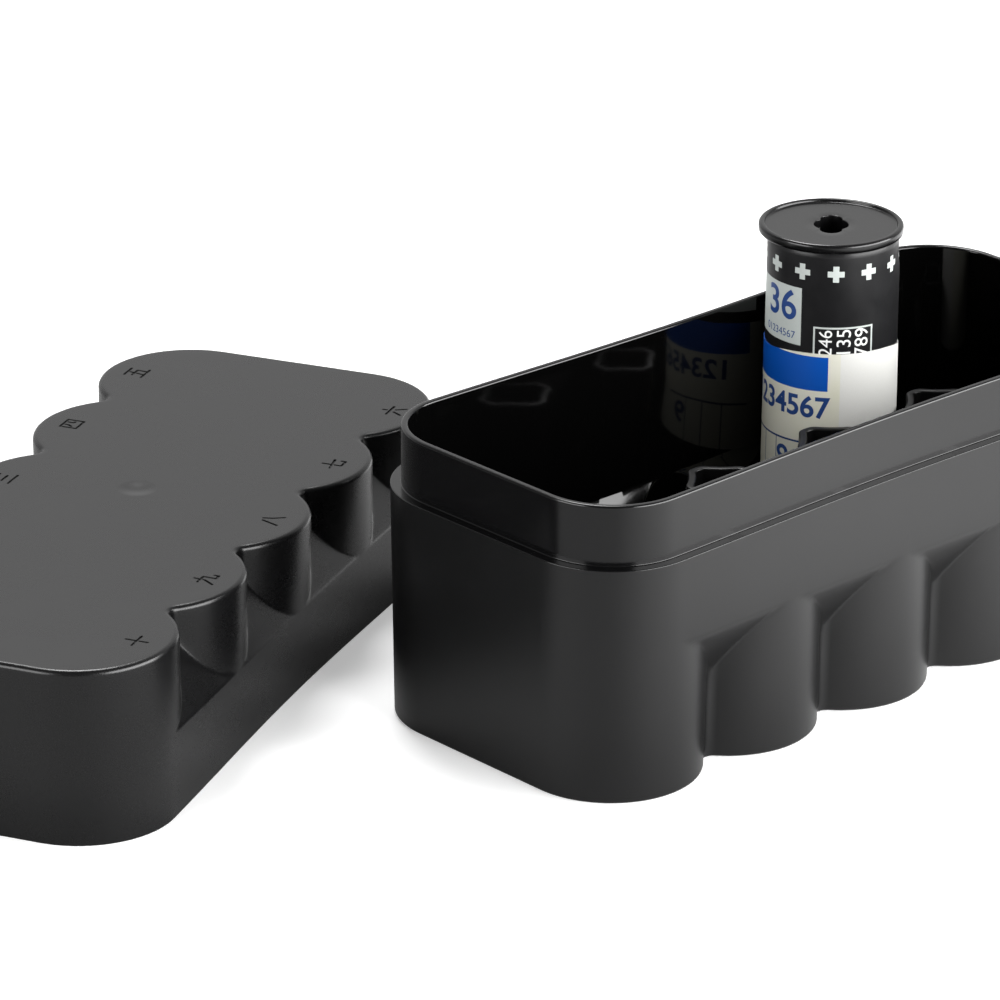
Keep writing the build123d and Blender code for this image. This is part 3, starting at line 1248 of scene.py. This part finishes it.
    def make_band(self) -> bpy.types.Object:
        """The gummed band round the paper, its edges a little wavy.

        The upper edge falls away on both sides of the angle that faces the camera, by a limited
        square of 1 - cos of the angle from there, and more on the right.

        Returns:
            The band.
        """
        sizes = self.sizes
        outer, inner = sizes.paper + sizes.band_thickness, sizes.paper + 0.01
        heights = np.linspace(sizes.band_low, sizes.band_high, 30)
        side = np.stack([np.full(30, outer), heights], -1)
        back = np.array([(inner, sizes.band_high), (inner, sizes.band_low)])
        profile = np.concatenate([side, back])
        share = (profile[:, 1:] - sizes.band_low) / (sizes.band_high - sizes.band_low)
        aside = (1 - np.cos(self.angle - math.radians(235))) ** 2
        top_wave = -1.9 * np.tanh(2 * aside) * (0.8 + 0.2 * np.cos(self.angle - math.radians(317)))
        low_wave = 0.2 * np.sin(2 * self.angle)
        return self.make_sleeve("roll_band", profile, share * top_wave + (1 - share) * low_wave)


@dataclass(frozen=True)
class Lettering:
    """A line of plain numbers, bent round the roll."""

    name: str
    text: str
    angle: float
    height: float
    letter: float
    slot: Slot
    radius: float
    turn: float = 0.0
    heavy: float = 0.0
    wide: float = 1.0
    thickness: float = 0.03
    cut: float = 0.35

    def make(self, roll: FilmRoll) -> bpy.types.Object:
        """The numbers as a thin mesh.

        A point x along the line goes to the angle x / radius round the roll, the line's middle at
        its own angle. Cuts across the line keep its faces narrow enough to bend.

        Args:
            roll: The roll that it is printed on.

        Returns:
            The piece.
        """
        curve = bpy.data.curves.new(self.name, "FONT")
        curve.body = self.text
        curve.align_x, curve.align_y = "CENTER", "CENTER"
        curve.size = self.letter / 0.7
        curve.extrude = self.thickness / 2
        curve.offset = self.heavy
        holder = bpy.data.objects.new(self.name, curve)
        bpy.context.scene.collection.objects.link(holder)
        bpy.context.view_layer.update()
        mesh = bpy.data.meshes.new_from_object(holder.evaluated_get(bpy.context.evaluated_depsgraph_get()))
        bpy.data.objects.remove(holder)
        turned = Matrix.Rotation(math.radians(self.turn), 4, "Z")
        mesh.transform(turned @ Matrix.Diagonal((self.wide, 1, 1, 1)))
        work = bmesh.new()
        work.from_mesh(mesh)
        bmesh.ops.remove_doubles(work, verts=work.verts, dist=1e-5)
        reach = max(abs(vert.co.x) for vert in work.verts)
        for x in np.arange(-reach + self.cut / 2, reach, self.cut):
            whole = [*work.verts, *work.edges, *work.faces]
            bmesh.ops.bisect_plane(work, geom=whole, plane_co=(x, 0, 0), plane_no=(1, 0, 0))
        work.to_mesh(mesh)
        work.free()
        flat = np.empty(len(mesh.vertices) * 3)
        mesh.vertices.foreach_get("co", flat)
        x, y, z = flat.reshape(-1, 3).T
        angle = math.radians(self.angle) + x / self.radius
        height = self.height + y
        out = self.radius + z + roll.swell(angle % (2 * math.pi), height)
        points = ring_grid(roll.sizes, out, height, angle) * MM
        mesh.vertices.foreach_set("co", points.ravel())
        mesh.update()
        piece = bpy.data.objects.new(self.name, mesh)
        bpy.context.scene.collection.objects.link(piece)
        return piece


@dataclass(frozen=True)
class PrintedPaper:
    """Black coated backing paper with white crosses, a label and an outlined box."""

    places: PrintPlaces
    radius: float
    black: tuple = (0.007, 0.007, 0.0075)
    white: tuple = (0.5, 0.54, 0.52)

    def material(self) -> bpy.types.Material:
        """The finished material, its marks drawn from the piece's own UV map."""
        material, shader = new_material("backing_paper")
        places = self.places
        uv = shader.node("ShaderNodeUVMap", {"uv_map": "print_places"}).out()
        split = shader.node("ShaderNodeSeparateXYZ", None, {0: uv})
        degrees, height = split.out(0) * 360, split.out(1) * 100
        arc = math.radians(1) * self.radius
        across = ((degrees - places.cross_first + 360 + places.cross_pitch / 2) / places.cross_pitch)
        across = (across.math("FRACT") - 0.5).size() * places.cross_pitch * arc
        up = (height - places.cross_height).size()
        bar = across.below(places.cross_reach) * up.below(places.cross_arm)
        pole = across.below(places.cross_arm) * up.below(places.cross_reach)
        label = degrees.within(*places.label[:2]) * height.within(*places.label[2:])
        left, right, low, high = places.frame
        line = places.frame_line
        box = degrees.within(left, right) * height.within(low, high)
        inner = degrees.within(left + line / arc, right - line / arc) * height.within(low, high - line)
        mask = bar.either(pole).either(label).either(box - inner)
        place = shader.node("ShaderNodeTexCoord").out("Object")
        fibre = shader.noise(place, 0.35, 4.0, 0.65)
        scuff = shader.noise(place, 3.0, 5.0, 0.6)
        black = shader.mix(scuff, rgb(*self.black), rgb(*(1.5 * channel for channel in self.black)))
        white = shader.mix(fibre, rgb(*self.white), rgb(*(0.9 * channel for channel in self.white)))
        inputs = {
            "Base Color": shader.mix(mask, black, white),
            "Roughness": 0.34 + (scuff - 0.5) * 0.16 + mask * 0.15,
            "Specular IOR Level": 0.3,
            "Normal": shader.bump(fibre * 0.004 + scuff * 0.012, 1.0),
        }
        finish_surface(shader, inputs)
        return material


@dataclass(frozen=True)
class PrintedBand:
    """Gummed paper, cream on one side of a joint and white on the other, with a blue block."""

    places: PrintPlaces
    cream: tuple = (0.74, 0.73, 0.6)
    white: tuple = (0.76, 0.76, 0.74)
    blue: tuple = (0.0005, 0.078, 0.42)
    dark_blue: tuple = (0.007, 0.035, 0.14)

    def material(self) -> bpy.types.Material:
        """The finished material, its marks drawn from the piece's own UV map."""
        material, shader = new_material("band_paper")
        places = self.places
        uv = shader.node("ShaderNodeUVMap", {"uv_map": "print_places"}).out()
        split = shader.node("ShaderNodeSeparateXYZ", None, {0: uv})
        degrees, height = split.out(0) * 360, split.out(1) * 100
        place = shader.node("ShaderNodeTexCoord").out("Object")
        fibre = shader.noise(place, 0.3, 4.0, 0.65)
        stain = shader.noise(place, 6.0, 3.0, 0.6)
        warm = (degrees.below(places.cream_edge) * (stain * 0.9 + 0.35)).clamp()
        pale = shader.mix(warm, rgb(*self.white), rgb(*self.cream))
        paper = shader.mix(fibre * 0.25, pale, rgb(*(0.8 * channel for channel in self.cream)))
        block = degrees.within(*places.block[:2]) * height.within(*places.block[2:])
        rule = degrees.within(*places.rule[:2]) * height.within(*places.rule[2:])
        for bar in places.bars:
            rule = rule.either(degrees.within(bar, bar + 0.8) * height.below(places.rule[2]))
        inked = shader.mix(block, paper, rgb(*self.blue))
        inputs = {
            "Base Color": shader.mix(rule, inked, rgb(*self.dark_blue)),
            "Roughness": 0.5 - block * 0.12 + (fibre - 0.5) * 0.1,
            "Normal": shader.bump(fibre * 0.005 + stain * 0.01, 1.0),
        }
        finish_surface(shader, inputs)
        return material


@dataclass(frozen=True)
class Ink:
    """Printing ink that takes up the paper's fibres."""

    name: str
    colour: tuple

    def material(self) -> bpy.types.Material:
        """The finished material."""
        material, shader = new_material(self.name)
        place = shader.node("ShaderNodeTexCoord").out("Object")
        fibre = shader.noise(place, 0.3, 3.0, 0.6)
        faded = rgb(*(min(1.0, channel * 1.35 + 0.01) for channel in self.colour))
        inputs = {
            "Base Color": shader.mix(fibre * 0.5, rgb(*self.colour), faded),
            "Roughness": 0.42 + (fibre - 0.5) * 0.15,
            "Normal": shader.bump(fibre, 0.004),
        }
        finish_surface(shader, inputs)
        return material


@dataclass(frozen=True)
class PlainSheet:
    """A thin sheet wound inside the roll, such as film or its joining tape."""

    name: str
    colour: tuple
    roughness: float

    def material(self) -> bpy.types.Material:
        """The finished material, with a slow cloud in its colour, gloss and surface."""
        material, shader = new_material(self.name)
        place = shader.node("ShaderNodeTexCoord").out("Object")
        cloud = shader.noise(place, 2.0, 3.0, 0.5)
        deep = rgb(*(0.7 * channel for channel in self.colour))
        inputs = {
            "Base Color": shader.mix(cloud, rgb(*self.colour), deep),
            "Roughness": self.roughness + (cloud - 0.5) * 0.1,
            "Normal": shader.bump(cloud, 0.01),
        }
        finish_surface(shader, inputs)
        return material


# The case


def cut_out(piece: bpy.types.Object, cutters: list[bpy.types.Object]) -> None:
    """Cuts shapes out of a piece and removes them.

    Args:
        piece: The piece that is cut.
        cutters: Closed meshes.
    """
    group = bpy.data.collections.new("cutters")
    bpy.context.scene.collection.children.link(group)
    for cutter in cutters:
        bpy.context.scene.collection.objects.unlink(cutter)
        group.objects.link(cutter)
    cut = piece.modifiers.new("cut", "BOOLEAN")
    cut.operation, cut.solver = "DIFFERENCE", "EXACT"
    cut.operand_type, cut.collection = "COLLECTION", group
    cut.material_mode = "TRANSFER"
    bpy.context.view_layer.update()
    evaluated = piece.evaluated_get(bpy.context.evaluated_depsgraph_get())
    mesh = bpy.data.meshes.new_from_object(evaluated)
    piece.modifiers.remove(cut)
    piece.data = mesh
    for cutter in cutters:
        bpy.data.objects.remove(cutter)
    bpy.data.collections.remove(group)


class Case:
    """The two mouldings of the case and their finishes."""

    def __init__(self) -> None:
        """Sets the sizes that both mouldings share."""
        self.pockets = Pockets()
        self.steps = Steps()
        self.bow = Bow()
        self.outside = MouldedPlastic("case_outside")
        # The inside's copy of the plastic is glossier, and its darker colour is painted shade for the
        # hollow of the tray.
        self.inside = MouldedPlastic(
            "case_inside_shaded", colour=(0.001, 0.001, 0.001), roughness=0.07, gloss_change=0.04,
            grain_depth=0.0004, reflection=0.32,
        )
        self.lip = MouldedPlastic("case_lip", roughness=0.17, gloss_change=0.04)
        self.groove = MouldedPlastic("case_groove", colour=(0.004, 0.004, 0.004), roughness=0.6)
        self.lid_outside = MouldedPlastic("case_lid", roughness=0.28)

    def dress(self, piece: bpy.types.Object, finishes: list[MouldedPlastic]) -> None:
        """Gives a piece its materials.

        Args:
            piece: The piece.
            finishes: One finish per material number of its faces.
        """
        for finish in finishes:
            known = bpy.data.materials.get(finish.name)
            piece.data.materials.append(known or finish.material())

    def skin(self, name: str, points: Array, outside: int, over: int) -> bpy.types.Object:
        """A moulding's skin, its faces numbered 0 on the outside, 1 over the rim and 2 inside.

        Args:
            name: The piece's name.
            points: Points (rows, columns, 3).
            outside: How many rows lie on the outside.
            over: How many lie there or over the rim.

        Returns:
            The piece, not yet welded.
        """
        rows, columns = points.shape[:2]
        quads = grid_quads(rows, columns, False, True)
        piece = mesh_from(name, points, quads)
        row = quads[:, 0] // columns
        number = (row >= outside - 1).astype(np.int32) + (row >= over - 1)
        piece.data.polygons.foreach_set("material_index", number.astype(np.int32))
        return piece

    def make_base(self) -> bpy.types.Object:
        """The base tray with its posts."""
        sizes = MouldingSizes(
            height=41.3, floor=2.0, rim_radius=16.2, draft=0.9, recess_height=25.6,
            closed_round=0.6, step_radius=14.4, step_height=10.4,
        )
        tray = BaseTray(sizes, self.pockets, self.bow, self.steps)
        piece = self.skin("base_shell", *tray.rows())
        self.dress(piece, [self.outside, self.lip, self.inside])
        weld(piece)
        posts = StarPosts(self.pockets)
        half = self.pockets.long / 2 * self.pockets.pitch_x
        places = [(number * self.pockets.pitch_x, 0.0) for number in (-1.5, -0.5, 0.5, 1.5)]
        grids = [posts.points(x, facing) for x, facing in [*places, (-half, 1.0), (half, -1.0)]]
        stars = []
        for grid in grids:
            star = mesh_from("post", grid, grid_quads(*grid.shape[:2], True, True))
            self.dress(star, [self.outside])
            weld(star)
            stars.append(star)
        join(piece, stars)
        even_shading(piece)
        return piece

    def make_lid(self) -> bpy.types.Object:
        """The lid, with its numerals and gate mark cut into it, where it lies."""
        sizes = MouldingSizes(
            height=30.3, floor=2.0, rim_radius=16.2, draft=0.45, recess_height=15.3,
            closed_round=0.9, step_radius=14.65, step_height=10.7, edge=0.25,
        )
        lid = LidCover(sizes, self.pockets, Bow(full_height=30.3), self.steps)
        points, outside, over = lid.rows()
        top_up = points * (1, -1, -1) + (0, 0, sizes.height)
        piece = self.skin("lid_shell", top_up, outside, over)
        self.dress(piece, [self.lid_outside, self.lip, self.inside])
        weld(piece)
        marks, cutters = Numerals(), []
        for number, strokes in marks.STROKES.items():
            middle = np.array(marks.place(number, self.pockets, lid.closed_radius))
            for stroke in strokes:
                corners = middle + marks.size * np.array(stroke)
                for start, end in zip(corners, corners[1:]):
                    grid = marks.stroke_points(start, end, sizes.height)
                    cutters.append(mesh_from("cutter", grid, grid_quads(*grid.shape[:2], False, True)))
        for cutter in cutters:
            self.dress(cutter, [self.groove])
        grid = GateMark().points(sizes.height)
        gate = mesh_from("cutter", grid, grid_quads(*grid.shape[:2], False, True))
        self.dress(gate, [self.lid_outside])
        for cutter in [*cutters, gate]:
            weld(cutter)
        cut_out(piece, [*cutters, gate])
        flat = np.empty(len(piece.data.vertices) * 3)
        piece.data.vertices.foreach_get("co", flat)
        moved = LidPlace().move(flat.reshape(-1, 3) / MM) * MM
        piece.data.vertices.foreach_set("co", moved.ravel())
        piece.data.update()
        even_shading(piece)
        return piece


def join(piece: bpy.types.Object, others: list[bpy.types.Object]) -> None:
    """Joins other meshes into a piece.

    Args:
        piece: The piece that they become part of.
        others: The meshes, which are removed.
    """
    work = bmesh.new()
    work.from_mesh(piece.data)
    for other in others:
        work.from_mesh(other.data)
        bpy.data.objects.remove(other)
    work.to_mesh(piece.data)
    work.free()


# The studio


@dataclass(frozen=True)
class Viewpoint:
    """The camera: turned about Z, raised, and this far from the point that it looks at."""

    target: tuple = (-39.208, 27.260, 30.0)
    azimuth: float = -42.97
    elevation: float = 22.514
    distance: float = 941.037
    roll: float = 0.306
    lens: float = 200.42
    sensor: float = 36.0

    def make(self) -> None:
        """Creates the camera and makes it the scene's."""
        azimuth, elevation = math.radians(self.azimuth), math.radians(self.elevation)
        back = Vector((
            math.sin(azimuth) * math.cos(elevation),
            -math.cos(azimuth) * math.cos(elevation),
            math.sin(elevation),
        ))
        side = Vector((0, 0, 1)).cross(back).normalized()
        axes = Matrix((side, back.cross(side), back)).transposed()
        turned = axes @ Matrix.Rotation(math.radians(self.roll), 3, "Z")
        data = bpy.data.cameras.new("camera")
        data.sensor_width, data.lens = self.sensor, self.lens
        data.clip_start, data.clip_end = 0.01, 50
        camera = bpy.data.objects.new("camera", data)
        place = (Vector(self.target) + back * self.distance) * MM
        camera.matrix_world = Matrix.Translation(place) @ turned.to_4x4()
        bpy.context.scene.collection.objects.link(camera)
        bpy.context.scene.camera = camera


@dataclass(frozen=True)
class Softbox:
    """A square soft lamp that faces a point of the object."""

    name: str
    azimuth: float
    elevation: float
    distance: float
    width: float
    height: float
    watts: float

    def make(self, target: Vector) -> None:
        """Creates the lamp.

        Args:
            target: The point that it faces, in metres.
        """
        azimuth, elevation = math.radians(self.azimuth), math.radians(self.elevation)
        back = Vector((
            math.sin(azimuth) * math.cos(elevation),
            -math.cos(azimuth) * math.cos(elevation),
            math.sin(elevation),
        ))
        data = bpy.data.lights.new(self.name, "AREA")
        data.shape, data.size, data.size_y = "RECTANGLE", self.width, self.height
        data.energy = self.watts
        lamp = bpy.data.objects.new(self.name, data)
        lamp.location = target + back * self.distance
        lamp.rotation_euler = back.to_track_quat("Z", "Y").to_euler()
        bpy.context.scene.collection.objects.link(lamp)


class Studio:
    """A white floor under a white surrounding, and three soft lamps."""

    FLOOR_SIZE = 12.0
    FLOOR_LIFT = 0.35
    FLOOR_WHITE, GLOSS_LOSS = 0.86, 0.5
    DIM_LINE, DIM_SLANT, DIM_LEVEL, POOL_SHARE = -62.0, 0.6, 0.1, 0.6
    RISE, BRIGHTEST = 0.0125, 2.6
    FRONT, BACK = 0.1, 0.8
    BEHIND = (0.682, 0.731, 0.0)
    BEHIND_GAIN, BEHIND_SOFT = 1.25, 0.2
    LAMPS = (
        Softbox("overhead", 150, 60, 1.5, 0.5, 0.5, 16),
        Softbox("right_front", 24, 18, 1.3, 1.8, 0.8, 52),
        Softbox("left_front", -97, 17, 1.5, 1.0, 0.8, 18),
    )

    def make_floor(self) -> bpy.types.Object:
        """The floor, which keeps the object's shadow.

        Gloss sees it dim up to a line in front of the base's corner and brighter to the right of
        it, as the stronger lamp would light it.

        Returns:
            The floor.
        """
        half = self.FLOOR_SIZE / 2 / MM
        corners = np.array([(-half, -half, 0), (half, -half, 0), (half, half, 0), (-half, half, 0)])
        floor = mesh_from("floor", corners, np.array([[0, 1, 2, 3]]))
        material, shader = new_material("floor")
        path = shader.node("ShaderNodeLightPath")
        camera, glossy = path.out("Is Camera Ray"), path.out("Is Glossy Ray")
        shade = self.FLOOR_WHITE - glossy * self.GLOSS_LOSS
        colour = shader.node("ShaderNodeCombineColor", None, {0: shade, 1: shade, 2: shade}).out()
        matt = shader.node("ShaderNodeBsdfDiffuse", None, {"Color": colour})
        place = shader.node("ShaderNodeTexCoord").out("Object")
        split = shader.node("ShaderNodeSeparateXYZ", None, {0: place})
        across = split.out(0) / MM - split.out(1) / MM * self.DIM_SLANT - self.DIM_LINE
        pool = (across.math("MAXIMUM", 0.0) * self.RISE + self.DIM_LEVEL).math("MINIMUM", self.BRIGHTEST)
        strength = camera * self.FLOOR_LIFT + glossy * pool * self.POOL_SHARE
        inputs = {"Color": rgb(1, 1, 1), "Strength": strength}
        glow = shader.node("ShaderNodeEmission", None, inputs)
        both = shader.node("ShaderNodeAddShader", None, {0: matt.out(), 1: glow.out()})
        shader.node("ShaderNodeOutputMaterial", None, {"Surface": both.out()})
        floor.data.materials.append(material)
        return floor

    def make_world(self) -> None:
        """A surrounding that is white to the camera, and to the object white behind it only."""
        world = bpy.data.worlds.new("surrounding")
        bpy.context.scene.world = world
        world.use_nodes = True
        shader = Shader(world.node_tree)
        camera = shader.node("ShaderNodeLightPath").out("Is Camera Ray")
        towards = shader.node("ShaderNodeTexCoord").out("Generated")
        inputs = {0: towards, 1: self.BEHIND}
        behind = shader.node("ShaderNodeVectorMath", {"operation": "DOT_PRODUCT"}, inputs).out("Value")
        share = (behind * self.BEHIND_GAIN).clamp().math("SMOOTH_MIN", 1.0, self.BEHIND_SOFT)
        strength = (share * (self.BACK - self.FRONT) + self.FRONT).math("MAXIMUM", camera)
        sky = shader.node("ShaderNodeBackground", None, {"Color": rgb(1, 1, 1), "Strength": strength})
        shader.node("ShaderNodeOutputWorld", None, {"Surface": sky.out()})

    def make(self) -> None:
        """Makes the floor, the surrounding, the lamps and the camera."""
        self.make_floor()
        self.make_world()
        view = Viewpoint()
        for lamp in self.LAMPS:
            lamp.make(Vector(view.target) * MM)
        view.make()
        bpy.context.scene.view_settings.view_transform = "Standard"


# Putting it together


def settle(piece: bpy.types.Object, body: Body, slot: Slot, *nodes: str) -> None:
    """Makes a piece ride on a body and hides the nodes that it stands for.

    Args:
        piece: The piece.
        body: The body that it moves with.
        slot: Not used.
        nodes: Nodes that it stands for.
    """
    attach(piece, body.value)
    if nodes:
        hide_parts(*nodes)
    log.info("%s: %d faces on %s", piece.name, len(piece.data.polygons), body.value)


def build_case() -> None:
    """Makes the two mouldings."""
    case = Case()
    settle(case.make_base(), Body.BASE, Slot.CASE, "base_tray")
    settle(case.make_lid(), Body.LID, Slot.CASE, "lid_cover")


def build_roll(frame: dict) -> None:
    """Makes the film roll and dresses what is wound inside it.
    """
    sizes, prints = RollSizes(), PrintPlaces()
    roll = FilmRoll(sizes, prints)
    spool, paper, band = roll.make_spool(), roll.make_paper(), roll.make_band()
    spool.data.materials.append(MouldedPlastic("spool_plastic", roughness=0.22).material())
    paper.data.materials.append(PrintedPaper(prints, sizes.paper).material())
    band.data.materials.append(PrintedBand(prints).material())
    settle(spool, Body.ROLL, Slot.SPOOL, "spool")
    settle(paper, Body.ROLL, Slot.PAPER, "backing_paper")
    settle(band, Body.ROLL, Slot.BAND, "seal_band")
    blue = Ink("ink_blue", (0.01, 0.045, 0.19)).material()
    white = Ink("ink_white", (0.74, 0.75, 0.74)).material()
    on_paper, on_band = sizes.paper, sizes.paper + sizes.band_thickness
    lines = [
        (Lettering("label_number", "36", 174, 55.0, 5.2, Slot.PAPER, on_paper, heavy=0.12), blue),
        (Lettering("label_row", "01234567", 172, 49.9, 1.35, Slot.PAPER, on_paper), blue),
        (Lettering("frame_number_left", "246", 220, 49.3, 2.3, Slot.PAPER, on_paper, turn=90), white),
        (Lettering("frame_number_middle", "135", 236, 49.3, 2.5, Slot.PAPER, on_paper, turn=90), white),
        (Lettering("frame_number_right", "789", 252, 49.3, 2.5, Slot.PAPER, on_paper, turn=90), white),
        (Lettering("band_row", "1234567", 178, 37.1, 3.75, Slot.BAND, on_band, heavy=0.12), blue),
        (Lettering("band_number", "9", 181, 27.0, 4.0, Slot.BAND, on_band, heavy=0.1), blue),
    ]
    for line, ink in lines:
        piece = line.make(roll)
        piece.data.materials.clear()
        piece.data.materials.append(ink)
        settle(piece, Body.ROLL, line.slot)
    wound = {
        "film_strip": PlainSheet("film", (0.1, 0.06, 0.07), 0.25),
        "joining_tape": PlainSheet("tape", (0.72, 0.7, 0.64), 0.4),
    }
    for name, finish in wound.items():
        node = frame["nodes"][name]
        node.data.materials.clear()
        node.data.materials.append(finish.material())


def main() -> None:
    """Builds the looks round the frame and logs each piece."""
    logging.basicConfig(level=logging.INFO, format="%(name)s %(message)s")
    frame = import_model()
    Studio().make()
    build_case()
    build_roll(frame)


if __name__ == "__main__":
    main()
